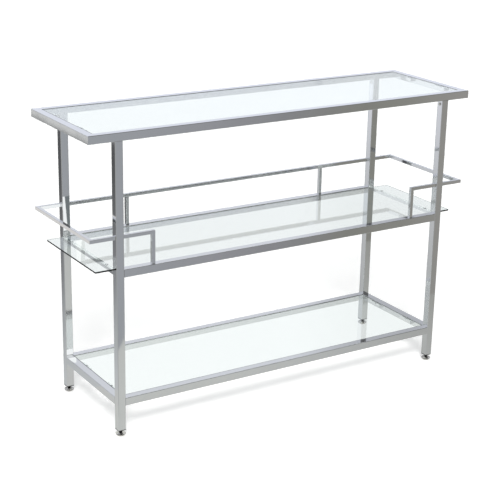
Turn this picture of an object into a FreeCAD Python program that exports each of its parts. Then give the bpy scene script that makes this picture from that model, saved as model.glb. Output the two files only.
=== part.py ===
import FreeCAD, Part
import os
import Sketcher
from FreeCAD import Vector

# Console table: a chromed square-tube frame with three glass panes, a square-bar gallery round the
# middle shelf and a levelling glide under each leg. Millimetres, +X along the table, +Y to the back,
# +Z up. The origin is on the floor, under the middle of the table, with the glides at mid travel.

DIMENSIONS = {
    # overall
    "table_length": 1372,
    "table_depth": 394,
    "table_height": 940,
    "end_overhang": 83,
    # square tube of the frame, and the thin square bar
    "tube_side": 25,
    "tube_wall": 1.5,
    "tube_corner": 1.5,
    "bar_side": 11,
    "bar_corner": 0.8,
    "mitre_margin": 1,
    # heights of the upper faces
    "bottom_shelf_top": 125,
    "middle_shelf_top": 532.5,
    "gallery_top": 636,
    # glass panes
    "glass_thickness": 5,
    "glass_corner": 3,
    "glass_arris": 0.6,
    "inset_gap": 1.5,
    "inset_drop": 1,
    "middle_gap": 0.5,
    "middle_drop": 2,
    "middle_overhang": 56,
    # what the panes rest on
    "pad_thickness": 1,
    "pad_radius": 4.5,
    "block_length": 56,
    "block_offset": 88,
    "pad_offset": 120,
    # gallery
    "gallery_end_inset": 1,
    "gallery_side_inset": 4.5,
    "hook_reach": 474,
    "back_post_reach": 369,
    # joint at the top of each leg
    "spigot_length": 40,
    "spigot_play": 0.2,
    "screw_drop": 12,
    "screw_head_radius": 5.25,
    "screw_head_height": 3.2,
    "screw_crown_radius": 3.25,
    "screw_dome_radius": 4.7,
    "screw_dome_drop": 1.3,
    "screw_head_edge": 0.5,
    "screw_head_round": 0.8,
    "screw_shank_radius": 2.9,
    "screw_hole_radius": 3.2,
    "screw_thread_radius": 3,
    "screw_length": 16,
    "hex_key": 4,
    "hex_key_depth": 1.8,
    # plug and threaded insert in the foot of each leg
    "leg_clearance": 20,
    "plug_flange": 2.5,
    "plug_shank": 18,
    "plug_play": 0.2,
    "insert_radius": 7,
    "insert_rim_radius": 9,
    "insert_rim": 1.5,
    "thread_radius": 5,
    "thread_play": 0.05,
    # levelling glide
    "cup_foot_radius": 9.3,
    "cup_foot_round": 1.5,
    "cup_radius": 15.7,
    "cup_shoulder": 6.4,
    "cup_height": 8.2,
    "cup_lip": 1.2,
    "cup_dish": 6.6,
    "hub_radius": 7.6,
    "hub_height": 9.5,
    "swivel_play": 0.3,
    "swivel_floor": 1.8,
    "swivel_roof": 5.8,
    "swivel_radius": 6.5,
    "stem_top": 52,
    "stem_chamfer": 1.2,
}

# Centre of a leg's section, measured from the middle of the table.
LEG_X = "(Sizes.table_length / 2 - Sizes.end_overhang - Sizes.tube_side / 2)"
LEG_Y = "(Sizes.table_depth / 2 - Sizes.tube_side / 2)"
LEG_INNER_X = f"({LEG_X} - Sizes.tube_side / 2)"
LEG_INNER_Y = f"({LEG_Y} - Sizes.tube_side / 2)"
LEG_OUTER_X = f"({LEG_X} + Sizes.tube_side / 2)"
LEG_TOP = "(Sizes.table_height - Sizes.tube_side)"
GALLERY_X = "(Sizes.table_length / 2 - Sizes.gallery_end_inset)"
GALLERY_Y = "(Sizes.table_depth / 2 - Sizes.gallery_side_inset)"
GALLERY_Z = "(Sizes.gallery_top - Sizes.bar_side / 2)"
SCREW_Z = f"({LEG_TOP} - Sizes.screw_drop)"
FLANGE_TOP = "(Sizes.leg_clearance + Sizes.plug_flange)"

LEFT_RIGHT = (("left", -1), ("right", 1))
FRONT_BACK = (("front", -1), ("back", 1))

X_AXIS = Vector(1, 0, 0)
Y_AXIS = Vector(0, 1, 0)
Z_AXIS = Vector(0, 0, 1)

# How near two lengths must be to count as the same.
TOLERANCE = 1e-6

doc = FreeCAD.newDocument("console_table")
sizes = doc.addObject("Spreadsheet::Sheet", "Sizes")
nodes = []


def fill_sheet():
    """Writes the driving dimensions, one per row, and names each cell."""
    for row, (alias, value) in enumerate(DIMENSIONS.items(), start=1):
        sizes.set(f"A{row}", alias)
        sizes.set(f"B{row}", str(value))
        sizes.setAlias(f"B{row}", alias)
    doc.recompute()


def node(part, label):
    """Names a finished piece and puts it on the list that is exported."""
    part.Label = label
    nodes.append(part)
    return part


def corners():
    """The four corners of the leg frame: name, side in X, side in Y."""
    for depth_name, depth_sign in FRONT_BACK:
        for side_name, side_sign in LEFT_RIGHT:
            yield f"{depth_name}_{side_name}", side_sign, depth_sign


def place(part, position, along=Z_AXIS, inner=Y_AXIS):
    """Puts a piece at three expressions, its own Z along one axis and its own Y along another."""
    part.Placement.Rotation = FreeCAD.Rotation(inner.cross(along), inner, along, "ZYX")
    for axis, expression in zip("xyz", position):
        part.setExpression(f"Placement.Base.{axis}", expression)


def new_sketch(body, role, lift=None):
    """A sketch on one of the body's own origin planes, lifted off it by an expression."""
    sketch = body.newObject("Sketcher::SketchObject", "Sketch")
    plane = next(feature for feature in body.Origin.OriginFeatures if feature.Role == role)
    sketch.AttachmentSupport = (plane, [""])
    sketch.MapMode = "FlatFace"
    if lift:
        sketch.setExpression("AttachmentOffset.Base.z", lift)
    return sketch


def bind(sketch, kind, geometry, expression, value):
    """Ties one coordinate of a line's start point, or a radius, to an expression."""
    if kind == "Radius":
        constraint = Sketcher.Constraint(kind, geometry, value)
    elif value < 0:
        constraint = Sketcher.Constraint(kind, geometry, 1, -1, 1, -value)
        expression = f"-({expression})"
    else:
        constraint = Sketcher.Constraint(kind, -1, 1, geometry, 1, value)
    index = sketch.addConstraint(constraint)
    sketch.renameConstraint(index, f"size_{index}")
    sketch.setExpression(f"Constraints.size_{index}", expression)


def add_polygon(sketch, points):
    """Draws a closed polygon whose corners sit at pairs of expressions."""
    places = [Vector(*(float(sketch.evalExpression(text)) for text in point)) for point in points]
    first = sketch.GeometryCount
    count = len(points)
    for start, end in zip(places, places[1:] + places[:1]):
        sketch.addGeometry(Part.LineSegment(start, end))
    for index, (point, spot) in enumerate(zip(points, places)):
        line = first + index
        following = first + (index + 1) % count
        sketch.addConstraint(Sketcher.Constraint("Coincident", line, 2, following, 1))
        for kind, expression, value, axis in zip(("DistanceX", "DistanceY"), point, spot, (-2, -1)):
            if value:
                bind(sketch, kind, line, expression, value)
            else:
                sketch.addConstraint(Sketcher.Constraint("PointOnObject", line, 1, axis))


def add_rectangle(sketch, half_width, half_height):
    """Draws a rectangle centred on the sketch's origin."""
    signs = ((-1, -1), (1, -1), (1, 1), (-1, 1))
    add_polygon(sketch, [(f"{a} * ({half_width})", f"{b} * ({half_height})") for a, b in signs])


def pad(body, sketch, length):
    """Raises the sketch into a solid."""
    feature = body.newObject("PartDesign::Pad", "Pad")
    feature.Profile = sketch
    feature.setExpression("Length", length)
    doc.recompute()
    return feature


def pocket_through(body, sketch, one_way=False):
    """Cuts the sketch through the body, both ways or only against the sketch's normal."""
    before = body.Shape.Volume
    feature = body.newObject("PartDesign::Pocket", "Pocket")
    feature.Profile = sketch
    feature.SideType = "One side" if one_way else "Symmetric"
    feature.Type = "ThroughAll"
    doc.recompute()
    if body.Shape.Volume >= before:
        raise RuntimeError(f"{body.Name}: a pocket cuts nothing")
    return feature


def pocket_depth(body, sketch, depth):
    """Cuts the sketch into the body along the sketch's normal."""
    before = body.Shape.Volume
    feature = body.newObject("PartDesign::Pocket", "Pocket")
    feature.Profile = sketch
    feature.Reversed = True
    feature.setExpression("Length", depth)
    doc.recompute()
    if body.Shape.Volume >= before:
        raise RuntimeError(f"{body.Name}: a pocket cuts nothing")
    return feature


def dress(body, kind, base, chosen, size):
    """Fillets or chamfers the edges of a feature for which chosen(edge) holds."""
    names = [f"Edge{i}" for i, edge in enumerate(base.Shape.Edges, start=1) if chosen(edge)]
    feature = body.newObject(f"PartDesign::{kind}", kind)
    feature.Base = (base, names)
    feature.setExpression("Radius" if kind == "Fillet" else "Size", size)
    doc.recompute()
    return feature


def is_upright(edge):
    """True for a straight edge along the body's own Z."""
    if not isinstance(edge.Curve, Part.Line):
        return False
    return abs(abs(edge.Curve.Direction.z) - 1) < TOLERANCE


def circle_at(radius, height):
    """Picks out the circular edge whose radius and height are these expressions."""
    wanted_radius = float(sizes.evalExpression(radius))
    wanted_height = float(sizes.evalExpression(height))

    def chosen(edge):
        if not isinstance(edge.Curve, Part.Circle):
            return False
        off_radius = abs(edge.Curve.Radius - wanted_radius)
        off_height = abs(edge.Curve.Center.z - wanted_height)
        return max(off_radius, off_height) < TOLERANCE

    return chosen


def tube(name, length, side, corner, wall=None, mitres=()):
    """A square bar, or a square tube when it has a wall, along its own Z.

    A mitre at "start" or "end" slopes at 45 degrees and shortens the side that faces its own +Y.
    """
    body = doc.addObject("PartDesign::Body", name)
    section = new_sketch(body, "XY_Plane")
    add_rectangle(section, f"{side} / 2", f"{side} / 2")
    if wall:
        add_rectangle(section, f"{side} / 2 - {wall}", f"{side} / 2 - {wall}")
    solid = pad(body, section, length)
    half = float(sizes.evalExpression(f"{side} / 2"))

    def is_outer_corner(edge):
        return is_upright(edge) and abs(abs(edge.Vertexes[0].Point.x) - half) < TOLERANCE

    dress(body, "Fillet", solid, is_outer_corner, corner)
    for mitre in mitres:
        cut_mitre(body, side, length, mitre)
    return body


def cut_mitre(body, side, length, mitre):
    """Slices one end of a square bar at 45 degrees."""
    margin = "Sizes.mitre_margin"
    outer, inner = f"-({side} / 2 + {margin})", f"{side} / 2 + {margin}"
    face, depth = {
        "start": (f"-{margin}", f"{side} + {margin}"),
        "end": (f"{length} + {margin}", f"{length} - {side} - {margin}"),
    }[mitre]
    triangle = new_sketch(body, "YZ_Plane")
    add_polygon(triangle, [(outer, face), (inner, face), (inner, depth)])
    pocket_through(body, triangle)


def frame_tube(name, length, mitres=()):
    """A length of the frame's square tube."""
    return tube(name, length, "Sizes.tube_side", "Sizes.tube_corner", "Sizes.tube_wall", mitres)


def thin_bar(name, length, mitres=()):
    """A length of the thin solid bar."""
    return tube(name, length, "Sizes.bar_side", "Sizes.bar_corner", mitres=mitres)


def pane(label, half_length, half_depth, top):
    """A glass pane with eased corners and polished arrises."""
    body = doc.addObject("PartDesign::Body", label)
    outline = new_sketch(body, "XY_Plane")
    add_rectangle(outline, half_length, half_depth)
    sheet = pad(body, outline, "Sizes.glass_thickness")
    rounded = dress(body, "Fillet", sheet, is_upright, "Sizes.glass_corner")
    dress(body, "Chamfer", rounded, lambda edge: not is_upright(edge), "Sizes.glass_arris")
    place(body, ("0", "0", f"{top} - Sizes.glass_thickness"))
    return node(body, label)


def group(label, members):
    """Identical pieces in one node, each a solid of its own."""
    compound = doc.addObject("Part::Compound", label)
    compound.Links = members
    return node(compound, label)


def pads(label, reach, offset, underside):
    """Four clear discs under a pane, two at each end."""
    discs = []
    for name, side, depth in corners():
        disc = doc.addObject("Part::Cylinder", f"{label}_{name}")
        disc.setExpression("Radius", "Sizes.pad_radius")
        disc.setExpression("Height", "Sizes.pad_thickness")
        place(disc, (f"{side} * ({reach})", f"{depth} * {offset}", f"{underside} - Sizes.pad_thickness"))
        discs.append(disc)
    return group(label, discs)


def blocks(label, reach, top):
    """Four stubs of thin bar on the inner faces of the end rails, which carry an inset pane."""
    stubs = []
    for name, side, depth in corners():
        stub = thin_bar(f"{label}_{name}", "Sizes.block_length")
        across = f"{side} * ({reach} - Sizes.bar_side / 2)"
        start = f"{depth} * Sizes.block_offset - Sizes.block_length / 2"
        place(stub, (across, start, f"{top} - Sizes.bar_side / 2"), Y_AXIS, X_AXIS)
        stubs.append(stub)
    return group(label, stubs)


def inset_pane(name, inner_x, frame_top):
    """The pane let into a rail frame, with the pads and blocks under it."""
    top = f"({frame_top} - Sizes.inset_drop)"
    underside = f"({top} - Sizes.glass_thickness)"
    pane(f"{name}_glass", f"{inner_x} - Sizes.inset_gap", f"{LEG_INNER_Y} - Sizes.inset_gap", top)
    pads(f"{name}_glass_pads", f"{inner_x} - Sizes.bar_side / 2", "Sizes.block_offset", underside)
    blocks(f"{name}_glass_blocks", inner_x, f"({underside} - Sizes.pad_thickness)")


def top_frame():
    """Four mitred rails and their pane."""
    height = "Sizes.table_height - Sizes.tube_side / 2"
    ends = ("start", "end")
    for name, sign in FRONT_BACK:
        rail = frame_tube(f"top_rail_{name}", "Sizes.table_length", ends)
        start = (f"{sign} * Sizes.table_length / 2", f"{sign} * {LEG_Y}", height)
        place(rail, start, X_AXIS * -sign, Y_AXIS * -sign)
        node(rail, f"top_rail_{name}")
    for name, sign in LEFT_RIGHT:
        rail = frame_tube(f"top_rail_{name}", "Sizes.table_depth", ends)
        across = f"{sign} * (Sizes.table_length / 2 - Sizes.tube_side / 2)"
        place(rail, (across, f"{-sign} * Sizes.table_depth / 2", height), Y_AXIS * sign, X_AXIS * -sign)
        node(rail, f"top_rail_{name}")
    inset_pane("top", "(Sizes.table_length / 2 - Sizes.tube_side)", "Sizes.table_height")


def screw_hole(body, lift, radius, one_way):
    """A round hole across a leg or a spigot, along the piece's own Y."""
    sketch = new_sketch(body, "XZ_Plane")
    value = float(sketch.evalExpression(radius))
    height = float(sketch.evalExpression(lift))
    sketch.addGeometry(Part.Circle(Vector(0, height), Z_AXIS, value))
    bind(sketch, "Radius", 0, radius, value)
    sketch.addConstraint(Sketcher.Constraint("PointOnObject", 0, 3, -2))
    index = sketch.addConstraint(Sketcher.Constraint("DistanceY", -1, 1, 0, 3, height))
    sketch.renameConstraint(index, "height")
    sketch.setExpression("Constraints.height", lift)
    pocket_through(body, sketch, one_way)


def legs():
    """Four legs, each with one screw hole in the wall that faces the middle of the table."""
    length = f"({LEG_TOP} - {FLANGE_TOP})"
    for name, side, depth in corners():
        leg = frame_tube(f"leg_{name}", length)
        screw_hole(leg, f"{SCREW_Z} - {FLANGE_TOP}", "Sizes.screw_hole_radius", one_way=True)
        place(leg, (f"{side} * {LEG_X}", f"{depth} * {LEG_Y}", FLANGE_TOP), Z_AXIS, X_AXIS * -side)
        node(leg, f"leg_{name}")


def leg_spigots():
    """A tapped block inside the top of each leg, fixed under the top frame."""
    width = "(Sizes.tube_side - 2 * Sizes.tube_wall - 2 * Sizes.spigot_play)"
    spigots = []
    for name, side, depth in corners():
        spigot = tube(f"leg_spigot_{name}", "Sizes.spigot_length", width, "Sizes.bar_corner")
        lift = "Sizes.spigot_length - Sizes.screw_drop"
        screw_hole(spigot, lift, "Sizes.screw_thread_radius", one_way=False)
        bottom = f"{LEG_TOP} - Sizes.spigot_length"
        place(spigot, (f"{side} * {LEG_X}", f"{depth} * {LEG_Y}", bottom), Z_AXIS, X_AXIS * -side)
        spigots.append(spigot)
    group("leg_spigots", spigots)


def revolve(body, points):
    """Turns a profile of radius and height about the body's own Z."""
    profile = new_sketch(body, "XZ_Plane")
    add_polygon(profile, points)
    feature = body.newObject("PartDesign::Revolution", "Revolution")
    feature.Profile = profile
    feature.ReferenceAxis = (profile, ["V_Axis"])
    feature.Angle = 360
    doc.recompute()
    return feature


def add_hexagon(sketch, across_flats):
    """Draws a regular hexagon round the sketch's origin."""
    half = f"{across_flats} / 2"
    tip = f"{across_flats} / sqrt(3)"
    outline = ((1, 0, tip), (0.5, 1, tip), (-0.5, 1, tip), (-1, 0, tip), (-0.5, -1, tip), (0.5, -1, tip))
    add_polygon(sketch, [(f"{a} * {reach}", f"{b} * {half}") for a, b, reach in outline])


def leg_screws():
    """Domed socket screws that clamp each leg to its spigot, heads towards the middle of the table."""
    dome = ("Sizes.screw_dome_radius", "Sizes.screw_dome_drop - Sizes.screw_head_height")
    screws = []
    for name, side, depth in corners():
        screw = doc.addObject("PartDesign::Body", f"leg_screw_{name}")
        solid = revolve(screw, [
            ("0", "-Sizes.screw_head_height"),
            ("Sizes.screw_crown_radius", "-Sizes.screw_head_height"),
            dome,
            ("Sizes.screw_head_radius", "-Sizes.screw_head_edge"),
            ("Sizes.screw_head_radius", "0"),
            ("Sizes.screw_shank_radius", "0"),
            ("Sizes.screw_shank_radius", "Sizes.screw_length"),
            ("0", "Sizes.screw_length"),
        ])
        dress(screw, "Fillet", solid, circle_at(*dome), "Sizes.screw_head_round")
        socket = new_sketch(screw, "XY_Plane", "-Sizes.screw_head_height")
        add_hexagon(socket, "Sizes.hex_key")
        pocket_depth(screw, socket, "Sizes.hex_key_depth")
        place(screw, (f"{side} * {LEG_INNER_X}", f"{depth} * {LEG_Y}", SCREW_Z), X_AXIS * side, Y_AXIS)
        screws.append(screw)
    group("leg_screws", screws)


def shelf_rails(name, top):
    """Front and back rails between the legs."""
    height = f"{top} - Sizes.tube_side / 2"
    for depth_name, sign in FRONT_BACK:
        rail = frame_tube(f"{name}_rail_{depth_name}", f"2 * {LEG_INNER_X}")
        place(rail, (f"-{LEG_INNER_X}", f"{sign} * {LEG_Y}", height), X_AXIS, Y_AXIS)
        node(rail, f"{name}_rail_{depth_name}")


def middle_shelf():
    """Two rails, two thin cross bars and the long pane that lies on them."""
    shelf_rails("middle", "Sizes.middle_shelf_top")
    top = "(Sizes.middle_shelf_top - Sizes.middle_drop)"
    underside = f"({top} - Sizes.glass_thickness)"
    reach = f"({LEG_OUTER_X} - Sizes.bar_side / 2)"
    height = f"{underside} - Sizes.pad_thickness - Sizes.bar_side / 2"
    for name, sign in LEFT_RIGHT:
        bar = thin_bar(f"middle_cross_bar_{name}", f"2 * {LEG_INNER_Y}")
        place(bar, (f"{sign} * {reach}", f"-{LEG_INNER_Y}", height), Y_AXIS, X_AXIS)
        node(bar, f"middle_cross_bar_{name}")
    half_length = f"{LEG_OUTER_X} + Sizes.middle_overhang"
    pane("middle_glass", half_length, f"{LEG_INNER_Y} - Sizes.middle_gap", top)
    pads("middle_glass_pads", reach, "Sizes.pad_offset", underside)


def bottom_shelf():
    """Four rails between the legs and the pane let into them."""
    shelf_rails("bottom", "Sizes.bottom_shelf_top")
    height = "Sizes.bottom_shelf_top - Sizes.tube_side / 2"
    for name, sign in LEFT_RIGHT:
        rail = frame_tube(f"bottom_rail_{name}", f"2 * {LEG_INNER_Y}")
        place(rail, (f"{sign} * {LEG_X}", f"-{LEG_INNER_Y}", height), Y_AXIS, X_AXIS)
        node(rail, f"bottom_rail_{name}")
    inset_pane("bottom", LEG_INNER_X, "Sizes.bottom_shelf_top")


def gallery_back():
    """The run between the back legs and the two posts under it."""
    centre_y = f"{GALLERY_Y} - Sizes.bar_side / 2"
    rail = thin_bar("gallery_back_rail", f"2 * {LEG_INNER_X}")
    place(rail, (f"-{LEG_INNER_X}", centre_y, GALLERY_Z), X_AXIS, Y_AXIS)
    node(rail, "gallery_back_rail")
    for name, sign in LEFT_RIGHT:
        height = "Sizes.gallery_top - Sizes.bar_side - Sizes.middle_shelf_top"
        post = thin_bar(f"gallery_back_post_{name}", height)
        across = f"{sign} * (Sizes.back_post_reach + Sizes.bar_side / 2)"
        place(post, (across, centre_y, "Sizes.middle_shelf_top"))
        node(post, f"gallery_back_post_{name}")


def gallery_ends():
    """The runs outside the legs: an arm from each leg, mitred into the end rail."""
    for name, side, depth in corners():
        arm = thin_bar(f"gallery_arm_{name}", f"({GALLERY_X} - {LEG_OUTER_X})", ("end",))
        across = f"{depth} * ({GALLERY_Y} - Sizes.bar_side / 2)"
        place(arm, (f"{side} * {LEG_OUTER_X}", across, GALLERY_Z), X_AXIS * side, Y_AXIS * -depth)
        node(arm, f"gallery_arm_{name}")
    for name, sign in LEFT_RIGHT:
        rail = thin_bar(f"gallery_end_rail_{name}", f"(2 * {GALLERY_Y})", ("start", "end"))
        start = (f"{sign} * ({GALLERY_X} - Sizes.bar_side / 2)", f"-{GALLERY_Y}", GALLERY_Z)
        place(rail, start, Y_AXIS, X_AXIS * -sign)
        node(rail, f"gallery_end_rail_{name}")


def gallery_hooks():
    """At the front, a short run inwards from each leg that turns down onto the middle rail."""
    centre_y = f"-({GALLERY_Y} - Sizes.bar_side / 2)"
    for name, sign in LEFT_RIGHT:
        rail = thin_bar(f"gallery_hook_rail_{name}", f"({LEG_INNER_X} - Sizes.hook_reach)", ("end",))
        place(rail, (f"{sign} * {LEG_INNER_X}", centre_y, GALLERY_Z), X_AXIS * -sign, -Z_AXIS)
        node(rail, f"gallery_hook_rail_{name}")
        height = "(Sizes.gallery_top - Sizes.middle_shelf_top)"
        post = thin_bar(f"gallery_hook_post_{name}", height, ("end",))
        across = f"{sign} * (Sizes.hook_reach + Sizes.bar_side / 2)"
        place(post, (across, centre_y, "Sizes.middle_shelf_top"), Z_AXIS, X_AXIS * sign)
        node(post, f"gallery_hook_post_{name}")


def leg_plugs():
    """A plug in the foot of each leg: a flange as wide as the tube, and a shank inside it."""
    for name, side, depth in corners():
        plug = doc.addObject("PartDesign::Body", f"leg_plug_{name}")
        outline = new_sketch(plug, "XY_Plane")
        add_rectangle(outline, "Sizes.tube_side / 2", "Sizes.tube_side / 2")
        flange = pad(plug, outline, "Sizes.plug_flange")
        dress(plug, "Fillet", flange, is_upright, "Sizes.tube_corner")
        section = new_sketch(plug, "XY_Plane", "Sizes.plug_flange")
        half = "Sizes.tube_side / 2 - Sizes.tube_wall - Sizes.plug_play"
        add_rectangle(section, half, half)
        pad(plug, section, "Sizes.plug_shank")
        add_bore(plug, "Sizes.insert_radius")
        place(plug, (f"{side} * {LEG_X}", f"{depth} * {LEG_Y}", "Sizes.leg_clearance"))
        node(plug, f"leg_plug_{name}")


def add_bore(body, radius):
    """A round hole along the body's own Z axis."""
    sketch = new_sketch(body, "XY_Plane")
    value = float(sketch.evalExpression(radius))
    sketch.addGeometry(Part.Circle(Vector(0, 0), Z_AXIS, value))
    bind(sketch, "Radius", 0, radius, value)
    sketch.addConstraint(Sketcher.Constraint("Coincident", 0, 3, -1, 1))
    pocket_through(body, sketch)


def leg_inserts():
    """Threaded sleeves in the plugs, each with a rim on the plug's shank."""
    bore = "Sizes.thread_radius + Sizes.thread_play"
    shoulder = "(Sizes.plug_flange + Sizes.plug_shank)"
    inserts = []
    for name, side, depth in corners():
        insert = doc.addObject("PartDesign::Body", f"leg_insert_{name}")
        revolve(insert, [
            (bore, "0"),
            ("Sizes.insert_radius", "0"),
            ("Sizes.insert_radius", shoulder),
            ("Sizes.insert_rim_radius", shoulder),
            ("Sizes.insert_rim_radius", f"{shoulder} + Sizes.insert_rim"),
            (bore, f"{shoulder} + Sizes.insert_rim"),
        ])
        place(insert, (f"{side} * {LEG_X}", f"{depth} * {LEG_Y}", "Sizes.leg_clearance"))
        inserts.append(insert)
    group("leg_inserts", inserts)


def glide_cups():
    """Round feet: a flat sole, a flared wall, a dished top, and a hub that holds the stem's collar."""
    bore = "Sizes.thread_radius + Sizes.swivel_play"
    for name, side, depth in corners():
        cup = doc.addObject("PartDesign::Body", f"glide_cup_{name}")
        solid = revolve(cup, [
            ("0", "0"),
            ("Sizes.cup_foot_radius", "0"),
            ("Sizes.cup_radius", "Sizes.cup_shoulder"),
            ("Sizes.cup_radius", "Sizes.cup_height"),
            ("Sizes.cup_radius - Sizes.cup_lip", "Sizes.cup_height"),
            ("Sizes.hub_radius + Sizes.cup_lip", "Sizes.cup_dish"),
            ("Sizes.hub_radius", "Sizes.hub_height"),
            (bore, "Sizes.hub_height"),
            (bore, "Sizes.swivel_roof"),
            ("Sizes.swivel_radius", "Sizes.swivel_roof"),
            ("Sizes.swivel_radius", "Sizes.swivel_floor"),
            ("0", "Sizes.swivel_floor"),
        ])
        dress(cup, "Fillet", solid, circle_at("Sizes.cup_foot_radius", "0"), "Sizes.cup_foot_round")
        place(cup, (f"{side} * {LEG_X}", f"{depth} * {LEG_Y}", "0"))
        node(cup, f"glide_cup_{name}")


def glide_stems():
    """Threaded rods from the cups up into the inserts, each with a collar trapped in its cup."""
    foot = "Sizes.swivel_floor + Sizes.swivel_play"
    collar_top = "Sizes.swivel_roof - Sizes.swivel_play"
    collar = "Sizes.swivel_radius - Sizes.swivel_play"
    for name, side, depth in corners():
        stem = doc.addObject("PartDesign::Body", f"glide_stem_{name}")
        revolve(stem, [
            ("0", foot),
            (collar, foot),
            (collar, collar_top),
            ("Sizes.thread_radius", collar_top),
            ("Sizes.thread_radius", "Sizes.stem_top - Sizes.stem_chamfer"),
            ("Sizes.thread_radius - Sizes.stem_chamfer", "Sizes.stem_top"),
            ("0", "Sizes.stem_top"),
        ])
        place(stem, (f"{side} * {LEG_X}", f"{depth} * {LEG_Y}", "0"))
        node(stem, f"glide_stem_{name}")


def check_model():
    """Stops if any object failed to compute or any piece has no valid shape."""
    doc.recompute()
    for item in doc.Objects:
        if {"Invalid", "Error"} & set(item.State):
            raise RuntimeError(f"{item.Name} failed to compute: {item.State}")
    for part in nodes:
        if part.Shape.isNull() or not part.Shape.isValid():
            raise RuntimeError(f"{part.Label} has no valid shape")


def export_parts():
    """Writes one STEP file per node."""
    os.makedirs("parts", exist_ok=True)
    for part in nodes:
        part.Shape.exportStep(f"parts/{part.Label}.step")


fill_sheet()
top_frame()
legs()
leg_spigots()
leg_screws()
middle_shelf()
bottom_shelf()
gallery_back()
gallery_ends()
gallery_hooks()
leg_plugs()
leg_inserts()
glide_cups()
glide_stems()
check_model()
export_parts()
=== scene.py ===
import math

import bmesh
import bpy
from mathutils import Euler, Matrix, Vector


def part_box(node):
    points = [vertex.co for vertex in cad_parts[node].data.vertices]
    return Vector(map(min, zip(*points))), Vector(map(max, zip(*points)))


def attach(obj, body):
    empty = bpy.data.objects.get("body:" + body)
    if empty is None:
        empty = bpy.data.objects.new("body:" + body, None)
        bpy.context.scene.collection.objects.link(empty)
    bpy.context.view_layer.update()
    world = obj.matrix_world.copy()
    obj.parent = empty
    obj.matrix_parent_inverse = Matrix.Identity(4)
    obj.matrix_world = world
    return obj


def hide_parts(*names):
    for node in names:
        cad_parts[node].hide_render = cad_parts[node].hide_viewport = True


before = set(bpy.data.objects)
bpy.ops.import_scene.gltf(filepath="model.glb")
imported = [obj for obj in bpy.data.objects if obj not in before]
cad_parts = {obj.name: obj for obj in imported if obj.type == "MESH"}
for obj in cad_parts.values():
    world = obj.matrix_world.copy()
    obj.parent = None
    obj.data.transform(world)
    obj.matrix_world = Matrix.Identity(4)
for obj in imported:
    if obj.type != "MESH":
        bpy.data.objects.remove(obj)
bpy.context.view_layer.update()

CORNERS = ("front_left", "front_right", "back_left", "back_right")
ENDS = ("left", "right")
SIDES = ("front", "back")

# Which way each run of metal lies, so that its polishing lines follow it.
RUNS = {
    "x": [f"{level}_rail_{side}" for level in ("top", "middle", "bottom") for side in SIDES]
    + ["gallery_back_rail"]
    + [f"gallery_hook_rail_{end}" for end in ENDS]
    + [f"gallery_arm_{side}_{end}" for side in SIDES for end in ENDS],
    "y": [f"{level}_rail_{end}" for level in ("top", "bottom") for end in ENDS]
    + [f"middle_cross_bar_{end}" for end in ENDS]
    + [f"gallery_end_rail_{end}" for end in ENDS]
    + ["top_glass_blocks", "bottom_glass_blocks"],
    "z": [f"leg_{corner}" for corner in CORNERS]
    + [f"gallery_back_post_{end}" for end in ENDS]
    + [f"gallery_hook_post_{end}" for end in ENDS],
}
GLASS_NODES = ("top_glass", "middle_glass", "bottom_glass")

# Camera: where it stands in metres, how it is turned in degrees, and its lens and sensor in millimetres.
CAMERA_PLACE = Vector((-2.2072, -3.4400, 1.8192))
CAMERA_TURN = (71.351, -1.142, -32.011)
CAMERA_LENS = 95.41
CAMERA_SENSOR = 36

# The stage: a round floor under a white backdrop, and one soft sun from high up at the front left.
FLOOR_RADIUS = 40
BACKDROP_RADIUS = 38
BACKDROP_FOOT = -0.5
BACKDROP_TOP = 20
CIRCLE_STEPS = 96
SUN_FROM = Vector((-0.055, -0.098, 0.1125))
SUN_DISTANCE = 30
SUN_ANGLE = 17
SUN_STRENGTH = 2.2
FLOOR_GLOW = 0.49

# How much brighter the room is for chrome that is seen through a pane.
BEHIND_GLASS = 1.28

# How much of the light that falls on it chrome gives back: its colour, and the share for a plain grey.
CHROME_TONE = (0.72, 0.725, 0.735)
CHROME_SHARE = CHROME_TONE[0]

# The levelling glides, in millimetres. Each profile point is a radius, a height and how far its
# corner is eased.
MILLIMETRE = 0.001
THREAD_PITCH = 1.5
THREAD_RADIUS = 5.0
THREAD_ROOT = 4.18
THREAD_FOOT = 5.5
THREAD_TOP = 52.0
THREAD_CHAMFER = 1.2
THREAD_WORN_FROM = 4.7
# One pitch of thread, as shares of the pitch: crest, flank, root, flank.
THREAD_SHAPE = ((0.0, 1.0), (0.125, 1.0), (0.44, 0.0), (0.69, 0.0))
THREAD_STEPS = 72
COLLAR = ((0, 2.1, 0), (6.2, 2.1, 0.3), (6.2, 5.5, 0.3), (THREAD_ROOT, THREAD_FOOT, 0))
CUP = (
    (0, 0, 0), (9.3, 0, 1.5), (15.69, 6.4, 0.9), (15.69, 8.2, 0.35), (14.5, 8.2, 0.35), (8.8, 6.6, 0.8),
    (7.6, 9.5, 0.4), (5.3, 9.5, 0.25), (5.3, 5.8, 0), (6.5, 5.8, 0), (6.5, 1.8, 0), (0, 1.8, 0))
LATHE_STEPS = 128
EASING_STEPS = 6
# The sharpest turns that still look smooth, in degrees, and how near points are welded, in millimetres.
CUP_SMOOTH = 32
STEM_SMOOTH = 25
WELD = 0.002


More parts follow.
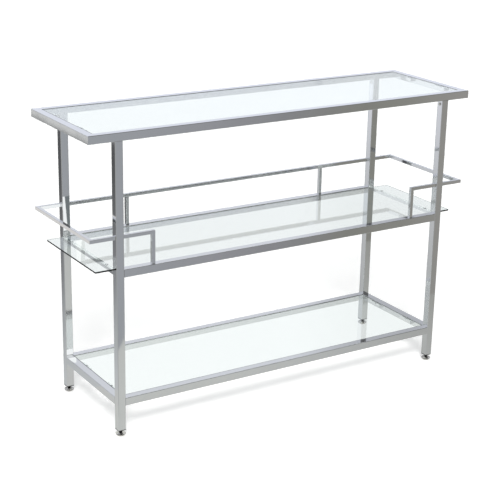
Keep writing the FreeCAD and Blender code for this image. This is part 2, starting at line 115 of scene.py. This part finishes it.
class Graph:
    """A node tree in the making. Its methods add nodes and give back an output."""

    def __init__(self, tree):
        self.tree = tree
        tree.nodes.clear()

    def add(self, kind, values=(), output=0, **settings):
        node = self.tree.nodes.new(kind)
        for name, value in settings.items():
            setattr(node, name, value)
        for name, value in dict(values).items():
            self.feed(node.inputs[name], value)
        return node.outputs[output] if node.outputs else node

    def feed(self, socket, value):
        if isinstance(value, bpy.types.NodeSocket):
            self.tree.links.new(value, socket)
        else:
            socket.default_value = value

    def math(self, operation, first, second=0.0, clamp=False):
        values = {0: first, 1: second}
        return self.add("ShaderNodeMath", values, operation=operation, use_clamp=clamp)

    def split(self, vector):
        node = self.tree.nodes.new("ShaderNodeSeparateXYZ")
        self.tree.links.new(vector, node.inputs[0])
        return node.outputs

    def span(self, value, low, high, start=0.0, stop=1.0, smooth=False):
        kind = "SMOOTHSTEP" if smooth else "LINEAR"
        values = {"Value": value, "From Min": low, "From Max": high, "To Min": start, "To Max": stop}
        return self.add("ShaderNodeMapRange", values, interpolation_type=kind)

    def ramp(self, factor, *stops):
        """A colour ramp of (position, colour) stops, each colour in linear light."""
        output = self.add("ShaderNodeValToRGB", {"Fac": factor})
        elements = output.node.color_ramp.elements
        while len(elements) > 1:
            elements.remove(elements[-1])
        elements[0].position = stops[0][0]
        elements[0].color = (*stops[0][1], 1)
        for position, colour in stops[1:]:
            elements.new(position).color = (*colour, 1)
        return output

    def bend(self, value, *stops):
        """A ramp of (value, display levels) stops, as the light that chrome turns into those levels."""
        first, last = stops[0][0], stops[-1][0]
        placed = [((place - first) / (last - first), mirrored(*levels)) for place, levels in stops]
        return self.ramp(self.span(value, first, last), *placed)

    def mix(self, factor, first, second):
        node = self.tree.nodes.new("ShaderNodeMix")
        node.data_type = "RGBA"
        self.feed(node.inputs["Factor"], factor)
        for name, colour in (("A", first), ("B", second)):
            ready = isinstance(colour, bpy.types.NodeSocket)
            self.feed(node.inputs[name], colour if ready else (*colour, 1))
        return next(output for output in node.outputs if output.type == "RGBA")

    def noise(self, vector, scale, detail=2.0, roughness=0.5):
        values = {"Vector": vector, "Scale": scale, "Detail": detail, "Roughness": roughness}
        return self.add("ShaderNodeTexNoise", values)

    def stretch(self, vector, scale):
        return self.add("ShaderNodeMapping", {"Vector": vector, "Scale": scale})

    def bump(self, height, distance, normal=None):
        values = {"Height": height, "Distance": distance, "Strength": 1.0}
        if normal is not None:
            values["Normal"] = normal
        return self.add("ShaderNodeBump", values)

    def deeper(self, kind, count):
        """One for a light path with more than this many bounces of a kind."""
        depth = self.tree.nodes.new("ShaderNodeLightPath").outputs[f"{kind} Depth"]
        return self.math("GREATER_THAN", depth, count)

    def behind_glass(self):
        """Light for chrome that is seen through a pane: a little more than for chrome in the open."""
        covered = self.math("MULTIPLY", self.deeper("Glossy", 0.5), self.deeper("Transmission", 1.5))
        return self.span(covered, 0.0, 1.0, 1.0, BEHIND_GLASS)

    def own_place(self):
        node = self.tree.nodes.new("ShaderNodeTexCoord")
        return node.outputs["Object"]

    def from_axis(self, place):
        """How far this place is from the piece's own Z axis."""
        x, y, _ = self.split(place)
        squares = self.math("ADD", self.math("POWER", x, 2), self.math("POWER", y, 2))
        return self.math("SQRT", squares)

    def show(self, shader, kind="ShaderNodeOutputMaterial"):
        """Makes this shader the tree's surface."""
        output = self.tree.nodes.new(kind)
        self.tree.links.new(shader, output.inputs["Surface"])
        return output

    def surface(self, **values):
        """The Principled shader and the output. Underscores in the names stand for spaces."""
        named = {name.replace("_", " "): value for name, value in values.items()}
        return self.show(self.add("ShaderNodeBsdfPrincipled", named))

    def glow(self, colour, strength):
        return self.show(self.add("ShaderNodeEmission", {"Color": colour, "Strength": strength}))


def new_material(name):
    material = bpy.data.materials.new(name)
    material.use_nodes = True
    return material, Graph(material.node_tree)


def grey(level):
    """A display grey from 0 to 255 as linear light."""
    share = level / 255
    return share / 12.92 if share <= 0.04045 else ((share + 0.055) / 1.055) ** 2.4


def mirrored(*levels):
    """The light that chrome turns into this display colour."""
    return tuple(grey(level) / CHROME_SHARE for level in levels)


# ---------------------------------------------------------------- materials


def chrome(run):
    """Polished chrome on steel tube: polishing lines along the run, faint haze, slightly wavy faces."""
    material, graph = new_material(f"chrome_along_{run}")
    place = graph.own_place()
    across = {"x": (5, 700, 700), "y": (700, 5, 700), "z": (700, 700, 5)}[run]
    lines = graph.noise(graph.stretch(place, across), 1.0, detail=3, roughness=0.6)
    haze = graph.noise(place, 11.0, detail=4, roughness=0.55)
    waves = graph.noise(place, 16.0, detail=1)
    colour = graph.ramp(haze, (0.3, [share * 0.965 for share in CHROME_TONE]), (0.7, CHROME_TONE))
    rough = graph.math("ADD", graph.math("MULTIPLY", lines, 0.05), 0.03)
    rough = graph.math("ADD", rough, graph.span(haze, 0.45, 0.75, 0.0, 0.05))
    normal = graph.bump(waves, 0.00004)
    normal = graph.bump(lines, 0.0000015, normal=normal)
    graph.surface(Base_Color=colour, Metallic=1.0, Roughness=rough, Normal=normal)
    return material


def glass():
    """Clear float glass: bright faces, green in its depth, a little dull at its ground edges, which are
    dark partly from their own green and partly as painted shade of the gap beside the rails.
    """
    material, graph = new_material("float_glass")
    place = graph.own_place()
    facing = graph.split(graph.add("ShaderNodeNewGeometry", output=1))[2]
    ground_edge_and_gap_shade = graph.span(graph.math("ABSOLUTE", facing), 0.95, 0.72)
    smears = graph.noise(place, 7.0, detail=5, roughness=0.6)
    grinding = graph.noise(graph.stretch(place, (60, 60, 1800)), 1.0, detail=2)
    # Painted shade: the edge faces are coloured nearly black green, partly their own green and partly the
    # shade in the gap between pane and rail.
    colour = graph.mix(ground_edge_and_gap_shade, (0.985, 0.995, 0.99), (0.03, 0.07, 0.055))
    dull = graph.math("MULTIPLY", ground_edge_and_gap_shade, graph.span(grinding, 0.3, 0.7, 0.06, 0.16))
    rough = graph.math("ADD", dull, graph.span(smears, 0.55, 0.8, 0.0, 0.012))
    normal = graph.bump(graph.noise(place, 3.0, detail=1), 0.00002)
    output = graph.surface(
        Base_Color=colour, Roughness=rough, IOR=1.52, Transmission_Weight=1.0, Normal=normal)
    depth = graph.add("ShaderNodeVolumeAbsorption", {"Color": (0.3, 0.78, 0.62, 1), "Density": 9.0})
    graph.tree.links.new(depth, output.inputs["Volume"])
    return material


def clear_rubber():
    """Soft clear bumper: cloudy, with a faint skin."""
    material, graph = new_material("clear_rubber")
    place = graph.own_place()
    clouds = graph.noise(place, 400.0, detail=3)
    colour = graph.ramp(clouds, (0.3, (0.82, 0.85, 0.84)), (0.7, (0.93, 0.95, 0.94)))
    rough = graph.span(clouds, 0.3, 0.7, 0.2, 0.38)
    normal = graph.bump(graph.noise(place, 1600.0, detail=2), 0.00003)
    graph.surface(
        Base_Color=colour, Roughness=rough, IOR=1.43, Transmission_Weight=0.8, Normal=normal)
    return material


def black_plastic():
    """Moulded black nylon with a fine grain."""
    material, graph = new_material("moulded_black_nylon")
    place = graph.own_place()
    patches = graph.noise(place, 90.0, detail=4)
    grain = graph.noise(place, 2600.0, detail=2)
    colour = graph.ramp(patches, (0.3, (0.010, 0.010, 0.011)), (0.75, (0.028, 0.028, 0.030)))
    rough = graph.span(patches, 0.3, 0.7, 0.38, 0.55)
    normal = graph.bump(grain, 0.00003)
    graph.surface(Base_Color=colour, Roughness=rough, Specular_IOR_Level=0.5, Normal=normal)
    return material


def turned_nickel():
    """Nickel on turned steel: fine rings round the piece's own axis, duller where the tool chattered."""
    material, graph = new_material("turned_nickel")
    place = graph.own_place()
    height = graph.split(place)[2]
    profile = graph.math("MULTIPLY", graph.math("ADD", graph.from_axis(place), height), 5200.0)
    rings = graph.add(
        "ShaderNodeTexNoise", {"W": profile, "Scale": 1.0, "Detail": 2.0}, noise_dimensions="1D")
    stains = graph.noise(place, 260.0, detail=4)
    colour = graph.ramp(stains, (0.25, (0.50, 0.48, 0.45)), (0.7, (0.66, 0.64, 0.61)))
    rough = graph.math(
        "ADD", graph.span(rings, 0.3, 0.7, 0.16, 0.3), graph.span(stains, 0.5, 0.8, 0.0, 0.1))
    normal = graph.bump(rings, 0.000012)
    graph.surface(Base_Color=colour, Metallic=1.0, Roughness=rough, Normal=normal)
    return material


def black_oxide():
    """Oil-blacked steel thread, rubbed brighter on its crests."""
    material, graph = new_material("black_oxide_thread")
    place = graph.own_place()
    mottle = graph.noise(place, 900.0, detail=3)
    crest = graph.span(
        graph.from_axis(place), THREAD_WORN_FROM * MILLIMETRE, THREAD_RADIUS * MILLIMETRE)
    worn = graph.math("MULTIPLY", crest, graph.span(mottle, 0.35, 0.7), clamp=True)
    colour = graph.mix(worn, (0.022, 0.021, 0.022), (0.23, 0.22, 0.21))
    rough = graph.span(mottle, 0.3, 0.7, 0.3, 0.48)
    normal = graph.bump(mottle, 0.00001)
    graph.surface(Base_Color=colour, Metallic=0.85, Roughness=rough, Normal=normal)
    return material


def zinc():
    """Zinc-plated steel with pale passivated patches."""
    material, graph = new_material("zinc_plate")
    place = graph.own_place()
    spangle = graph.add("ShaderNodeTexVoronoi", {"Vector": place, "Scale": 420.0})
    patches = graph.noise(place, 160.0, detail=3)
    colour = graph.ramp(patches, (0.3, (0.46, 0.48, 0.50)), (0.7, (0.62, 0.63, 0.62)))
    rough = graph.math(
        "ADD", graph.span(spangle, 0.0, 0.8, 0.22, 0.36), graph.span(patches, 0.4, 0.8, 0.0, 0.1))
    normal = graph.bump(spangle, 0.000008)
    graph.surface(Base_Color=colour, Metallic=1.0, Roughness=rough, Normal=normal)
    return material


def screw_steel():
    """Bright nickel-plated screws with small handling marks."""
    material, graph = new_material("bright_screw")
    place = graph.own_place()
    marks = graph.noise(graph.stretch(place, (900, 300, 900)), 1.0, detail=4)
    colour = graph.ramp(marks, (0.3, (0.56, 0.55, 0.53)), (0.7, (0.72, 0.71, 0.70)))
    rough = graph.span(marks, 0.3, 0.75, 0.12, 0.3)
    normal = graph.bump(marks, 0.000006)
    graph.surface(Base_Color=colour, Metallic=1.0, Roughness=rough, Normal=normal)
    return material


def dress_node(name, material):
    """Gives a CAD node one material all over."""
    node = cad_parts[name]
    node.data.materials.clear()
    node.data.materials.append(material)
    for polygon in node.data.polygons:
        polygon.material_index = 0


# ---------------------------------------------------------------- pieces


def add_piece(name, points, faces, axis, smooth_angle, material, slot, body, *replaced):
    """A mesh piece, drawn in millimetres, whose own origin is at a place on its turning axis."""
    mesh = bpy.data.meshes.new(name)
    mesh.from_pydata([Vector(point) * MILLIMETRE for point in points], [], faces)
    welder = bmesh.new()
    welder.from_mesh(mesh)
    bmesh.ops.remove_doubles(welder, verts=welder.verts, dist=WELD * MILLIMETRE)
    bmesh.ops.recalc_face_normals(welder, faces=welder.faces)
    welder.to_mesh(mesh)
    welder.free()
    mesh.polygons.foreach_set("use_smooth", [True] * len(mesh.polygons))
    mesh.set_sharp_from_angle(angle=math.radians(smooth_angle))
    mesh.materials.append(material)
    piece = bpy.data.objects.new(name, mesh)
    bpy.context.scene.collection.objects.link(piece)
    piece.location = axis
    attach(piece, body)
    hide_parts(*replaced)


def glide_axis(corner):
    low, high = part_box(f"glide_cup_{corner}")
    return Vector(((low[0] + high[0]) / 2, (low[1] + high[1]) / 2, 0))


def eased(profile):
    """The profile as (radius, height) points, its corners turned into small curves."""
    points = []
    for index, (radius, height, ease) in enumerate(profile):
        corner = Vector((radius, height))
        if not ease:
            points.append(corner)
            continue
        before = Vector(profile[index - 1][:2]) - corner
        after = Vector(profile[index + 1][:2]) - corner
        start = corner + before.normalized() * ease
        stop = corner + after.normalized() * ease
        for step in range(EASING_STEPS + 1):
            share = step / EASING_STEPS
            points.append(
                start * (1 - share) ** 2 + corner * 2 * share * (1 - share) + stop * share ** 2)
    return points


def ring(radius, height, steps):
    """One full turn of points, the last on top of the first."""
    turns = [math.tau * column / steps for column in range(steps + 1)]
    return [(radius * math.cos(turn), radius * math.sin(turn), height) for turn in turns]


def thread_row(base, radius):
    """One full turn along the thread's slope, held between the foot and the top of the thread."""
    row = []
    for column in range(THREAD_STEPS + 1):
        share = column / THREAD_STEPS
        height = min(max(base + THREAD_PITCH * share, THREAD_FOOT), THREAD_TOP)
        bevel = THREAD_RADIUS - max(0, height - (THREAD_TOP - THREAD_CHAMFER))
        reach = THREAD_ROOT if height == THREAD_FOOT else min(radius, bevel)
        row.append((reach * math.cos(math.tau * share), reach * math.sin(math.tau * share), height))
    return row


def skin(rows):
    """Joins rows of equal length into points and four-sided faces."""
    width = len(rows[0])
    points = [point for row in rows for point in row]
    faces = []
    for row in range(len(rows) - 1):
        for column in range(width - 1):
            corner = row * width + column
            faces.append((corner, corner + 1, corner + width + 1, corner + width))
    return points, faces


def turned_cup(corner, material):
    rows = [ring(radius, height, LATHE_STEPS) for radius, height in eased(CUP)]
    points, faces = skin(rows)
    add_piece(f"turned_cup_{corner}", points, faces, glide_axis(corner), CUP_SMOOTH, material,
              "nickel_cup", f"cup_{corner}", f"glide_cup_{corner}")


def threaded_stem(corner, material):
    """A collar and a real helical thread over the whole shank, with a bevelled tip."""
    rows = [ring(radius, height, THREAD_STEPS) for radius, height in eased(COLLAR)]
    turns = int((THREAD_TOP - THREAD_FOOT) / THREAD_PITCH) + 3
    for turn in range(turns):
        start = THREAD_FOOT + THREAD_PITCH * (turn - 1)
        for share, crest in THREAD_SHAPE:
            radius = THREAD_ROOT + (THREAD_RADIUS - THREAD_ROOT) * crest
            rows.append(thread_row(start + THREAD_PITCH * share, radius))
    rows.append(ring(0, THREAD_TOP, THREAD_STEPS))
    points, faces = skin(rows)
    add_piece(f"threaded_stem_{corner}", points, faces, glide_axis(corner), STEM_SMOOTH, material,
              "dark_thread", f"stem_{corner}", f"glide_stem_{corner}")


# ---------------------------------------------------------------- stage


def add_stage_mesh(name, points, faces, material, *seen_by):
    """Part of the stage, and the kinds of light path that may meet it."""
    mesh = bpy.data.meshes.new(name)
    mesh.from_pydata(points, [], faces)
    mesh.materials.append(material)
    thing = bpy.data.objects.new(name, mesh)
    bpy.context.scene.collection.objects.link(thing)
    for kind in ("camera", "diffuse", "glossy", "transmission", "shadow", "volume_scatter"):
        setattr(thing, f"visible_{kind}", kind in seen_by)


def add_board(name, corners, material):
    """A flat board or cloth that shows only in reflections."""
    add_stage_mesh(name, corners, [range(len(corners))], material, "glossy")


def circle(radius, height):
    """One full turn of points, each only once."""
    return ring(radius, height, CIRCLE_STEPS)[:-1]


def flat(left, right, front, back):
    """The corners of a rectangle on the floor."""
    return [(left, front, 0), (right, front, 0), (right, back, 0), (left, back, 0)]


def upright(left, right, y, low, high):
    """The corners of a rectangle that stands across the room."""
    return [(left, y, low), (right, y, low), (right, y, high), (left, y, high)]


def floor_material():
    """Matt white floor paper. Its own faint glow stands for the light of a whole white room."""
    material, graph = new_material("floor_paper")
    place = graph.own_place()
    fibres = graph.noise(place, 60.0, detail=5)
    colour = graph.ramp(fibres, (0.3, (0.79, 0.79, 0.765)), (0.7, (0.81, 0.81, 0.785)))
    graph.surface(
        Base_Color=colour, Roughness=0.9, Specular_IOR_Level=0.0,
        Emission_Color=(1, 1, 1, 1), Emission_Strength=FLOOR_GLOW)
    return material


def glow_material(name, colour):
    material, graph = new_material(name)
    graph.glow((*colour, 1), graph.behind_glass())
    return material


def patch_material(name, make_colour, make_strength=None):
    """A plain glow whose colour is worked out from the place on the floor."""
    material, graph = new_material(name)
    x, y, _ = graph.split(graph.own_place())
    graph.glow(make_colour(graph, x, y), make_strength(graph) if make_strength else 1.0)
    return material


def floor_through_glass(graph, x, y):
    """White, a little darker in a painted soft shade behind the table, where the table's own shade would
    fall.
    """
    across = graph.math("POWER", graph.math("DIVIDE", graph.math("SUBTRACT", x, 0.5), 2.2), 2)
    along = graph.math("POWER", graph.math("DIVIDE", graph.math("SUBTRACT", y, 1.45), 1.1), 2)
    # Painted shadow: the glow is a little darker in a soft oval behind the table.
    seen_with_painted_shade = graph.ramp(
        graph.math("ADD", across, along),
        (0.0, (0.868, 0.873, 0.878)), (0.3, (0.875, 0.880, 0.885)), (1.0, (0.972, 0.982, 0.985)))
    # Chrome mirrors this floor through one pane as it mirrors the room, and a little brighter through two.
    far = graph.mix(graph.span(x, -1.0, -0.7), mirrored(104, 105, 106), mirrored(172, 174, 174))
    behind = graph.mix(graph.span(y, 0.5, 1.2), mirrored(156, 157, 157), far)
    under = graph.mix(graph.span(x, 0.1, 0.6), mirrored(216, 219, 219), mirrored(147, 148, 147))
    front = graph.mix(graph.span(y, -0.6, -0.42), mirrored(136, 138, 139), under)
    room = graph.mix(graph.span(y, -0.08, 0.02), front, behind)
    mirrored_floor = graph.mix(graph.deeper("Transmission", 2.5), room, (1.15, 1.17, 1.17))
    return graph.mix(graph.deeper("Glossy", 0.5), seen_with_painted_shade, mirrored_floor)


def front_board(graph, x, _):
    """Bright at the left, greyer to the right."""
    return graph.bend(
        x, (-0.5, (187, 189, 186)), (-0.1, (185, 187, 184)), (0.16, (180, 182, 180)),
        (0.5, (170, 172, 170)), (0.8, (160, 161, 158)), (1.0, (153, 154, 150)), (1.5, (143, 143, 138)))


def build_floor():
    """The floor as the camera sees it, and a plainer glowing one with a painted soft shade that shows
    through the panes.
    """
    outline = circle(FLOOR_RADIUS, 0)
    face = [range(len(outline))]
    add_stage_mesh("floor", outline, face, floor_material(), "camera", "diffuse")
    shade = patch_material("floor_painted_shade", floor_through_glass)
    add_stage_mesh("floor_through_glass", outline, face, shade, "transmission")


def build_backdrop():
    """White all round, as an upright wall and a flat top."""
    foot = circle(BACKDROP_RADIUS, BACKDROP_FOOT)
    head = circle(BACKDROP_RADIUS, BACKDROP_TOP)
    middle = 2 * CIRCLE_STEPS
    faces = []
    for step in range(CIRCLE_STEPS):
        after = (step + 1) % CIRCLE_STEPS
        faces.append((step, after, CIRCLE_STEPS + after, CIRCLE_STEPS + step))
        faces.append((CIRCLE_STEPS + step, CIRCLE_STEPS + after, middle))
    white = glow_material("backdrop_white", (1, 1, 1))
    points = foot + head + [(0, 0, BACKDROP_TOP)]
    add_stage_mesh("backdrop", points, faces, white, "camera", "transmission")


def build_boards():
    """Large boards on the floor that the rails and legs mirror."""
    add_board(
        "front_board",
        [(-0.9, -0.05, 0), (0.0, -1.18, 0), (1.5, -0.48, 0), (1.5, 0.0, 0), (-0.9, 0.0, 0)],
        patch_material("front_board_white", front_board, Graph.behind_glass))
    add_board(
        "side_card", flat(-3.6, -2.235, 2.4, 5.2),
        glow_material("side_card_white", mirrored(199, 200, 199)))
    add_board(
        "under_board", flat(-0.75, 1.0, 0.0, 0.165),
        glow_material("under_board_white", mirrored(186, 187, 185)))


def build_flags():
    """Small cloths near the back left leg and the left end, for the bright marks there."""
    white = glow_material("white_flag_cloth", mirrored(240, 243, 243))
    add_board("joint_flag", upright(-0.604, -0.574, 0.16, 0.1255, 0.145), white)
    add_board("arm_flag", upright(-0.67, -0.577, 0.12, 0.6, 0.622), white)

    # Two cloths side by side, with a slanting seam between them.
    y, foot, head = 0.121, 0.532, 0.643
    left, right = -0.583, -0.5535
    seam_foot, seam_head = (-0.564, y, foot), (-0.572, y, head)
    add_board("leg_flag", [(left, y, foot), seam_foot, seam_head, (left, y, head)], white)
    add_board(
        "leg_shade", [seam_foot, (right, y, foot), (right, y, head), seam_head],
        glow_material("leg_shade_cloth", mirrored(110, 116, 118)))

    x, front, back, low, high = -0.7, -0.17, 0.25, 0.612, 0.628
    add_board(
        "end_strip", [(x, front, low), (x, back, low), (x, back, high), (x, front, high)],
        glow_material("end_strip_white", mirrored(206, 204, 202)))


def build_stage():
    build_floor()
    build_backdrop()
    build_boards()
    build_flags()


# ---------------------------------------------------------------- light


def low_sky(graph, rise, turn):
    """The room below the horizon."""
    front = graph.bend(
        turn,
        (130, (150, 150, 146)), (138, (146, 144, 141)), (141, (132, 132, 126)), (143, (127, 127, 121)),
        (146, (132, 133, 135)), (149, (142, 143, 147)), (153.5, (150, 153, 157)), (165, (152, 156, 160)))

    # Towards the back left, a dark stretch that brightens downwards and to the side.
    dark = graph.bend(
        rise,
        (-26, (184, 186, 187)), (-24, (180, 183, 184)), (-22.8, (169, 172, 173)), (-21.5, (155, 158, 159)),
        (-20, (131, 133, 135)), (-18.5, (116, 117, 119)), (-17, (99, 100, 101)), (-15.5, (85, 86, 87)),
        (-14, (77, 78, 80)), (-12, (76, 77, 79)))
    side = graph.bend(
        rise,
        (-26, (166, 168, 168)), (-20, (172, 174, 174)), (-16, (184, 186, 188)), (-13, (200, 202, 207)),
        (-12, (206, 208, 214)))
    left = graph.mix(graph.span(turn, -29, -36, smooth=True), dark, side)

    # The rest is darker where chrome mirrors it by way of other chrome.
    rest = graph.bend(
        rise,
        (-60, (196, 198, 198)), (-26, (184, 186, 186)), (-17, (160, 162, 164)), (-9, (150, 152, 155)),
        (-6, (112, 114, 118)), (0, (104, 106, 110)))
    dulled = graph.math(
        "MULTIPLY", graph.deeper("Glossy", 1.5), graph.span(rise, -25, -20, smooth=True))
    rest = graph.mix(dulled, rest, mirrored(82, 84, 87))

    to_front = graph.span(graph.math("ABSOLUTE", turn), 100, 128, smooth=True)
    to_left = graph.math(
        "MULTIPLY", graph.span(turn, -10, -20, smooth=True), graph.span(turn, -70, -52, smooth=True))
    return graph.mix(to_left, graph.mix(to_front, rest, front), left)


def high_sky(graph, rise, turn):
    """The room above the horizon: lavender white low down, darker overhead, at the right and front left."""
    high = graph.bend(
        rise,
        (0, (104, 106, 110)), (4, (122, 124, 130)), (8, (204, 208, 219)), (12, (211, 215, 226)),
        (18, (203, 206, 213)), (25, (203, 206, 212)), (32, (180, 183, 187)), (45, (142, 144, 147)),
        (60, (120, 122, 124)), (90, (116, 118, 120)))
    shade = graph.math(
        "MULTIPLY", graph.span(turn, 34, 38, 0.0, 0.32, smooth=True), graph.span(rise, 14, 17, smooth=True))
    high = graph.mix(shade, high, (0, 0, 0))
    to_right = graph.span(turn, 52, 68, smooth=True)
    to_front_left = graph.span(turn, -110, -150, smooth=True)
    dim = graph.mix(graph.span(rise, 24, 32, smooth=True), mirrored(104, 105, 106), mirrored(88, 89, 90))
    return graph.mix(graph.math("ADD", to_right, to_front_left, clamp=True), high, dim)


def sky():
    """What the chrome and the glass mirror: a pale studio, in degrees above and round the table."""
    world = bpy.data.worlds.new("studio")
    bpy.context.scene.world = world
    world.use_nodes = True
    graph = Graph(world.node_tree)
    x, y, z = graph.split(graph.add("ShaderNodeTexCoord", output=0))
    degrees = 180 / math.pi
    rise = graph.math("MULTIPLY", graph.math("ARCSINE", z), degrees)
    turn = graph.math("MULTIPLY", graph.math("ARCTAN2", x, y), degrees)
    horizon = graph.span(rise, -1.5, 1.5, smooth=True)
    colour = graph.mix(horizon, low_sky(graph, rise, turn), high_sky(graph, rise, turn))
    background = graph.add("ShaderNodeBackground", {"Color": colour, "Strength": graph.behind_glass()})
    graph.show(background, "ShaderNodeOutputWorld")


def add_sun():
    light = bpy.data.lights.new("key", "SUN")
    light.energy = SUN_STRENGTH
    light.angle = math.radians(SUN_ANGLE)
    sun = bpy.data.objects.new("key", light)
    sun.location = SUN_FROM * SUN_DISTANCE
    sun.rotation_euler = SUN_FROM.to_track_quat("Z", "Y").to_euler()
    sun.visible_glossy = False
    bpy.context.scene.collection.objects.link(sun)


def add_camera():
    data = bpy.data.cameras.new("camera")
    data.lens = CAMERA_LENS
    data.sensor_width = CAMERA_SENSOR
    camera = bpy.data.objects.new("camera", data)
    camera.location = CAMERA_PLACE
    camera.rotation_euler = Euler([math.radians(angle) for angle in CAMERA_TURN])
    bpy.context.scene.collection.objects.link(camera)
    bpy.context.scene.camera = camera


# ---------------------------------------------------------------- the table


def dress_table():
    for run, names in RUNS.items():
        material = chrome(run)
        for name in names:
            dress_node(name, material)
    pane = glass()
    for name in GLASS_NODES:
        dress_node(name, pane)
        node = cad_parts[name]
        node.visible_shadow = False
        node.visible_diffuse = False
    rubber = clear_rubber()
    for name in ("top_glass_pads", "middle_glass_pads", "bottom_glass_pads"):
        dress_node(name, rubber)
    plastic = black_plastic()
    plated = zinc()
    for corner in CORNERS:
        dress_node(f"leg_plug_{corner}", plastic)
    dress_node("leg_inserts", plated)
    dress_node("leg_spigots", plated)
    dress_node("leg_screws", screw_steel())
    nickel = turned_nickel()
    oxide = black_oxide()
    for corner in CORNERS:
        dress_node(f"glide_cup_{corner}", nickel)
        dress_node(f"glide_stem_{corner}", oxide)
        turned_cup(corner, nickel)
        threaded_stem(corner, oxide)


add_camera()
build_stage()
sky()
add_sun()
dress_table()
bpy.context.scene.view_settings.view_transform = "Standard"
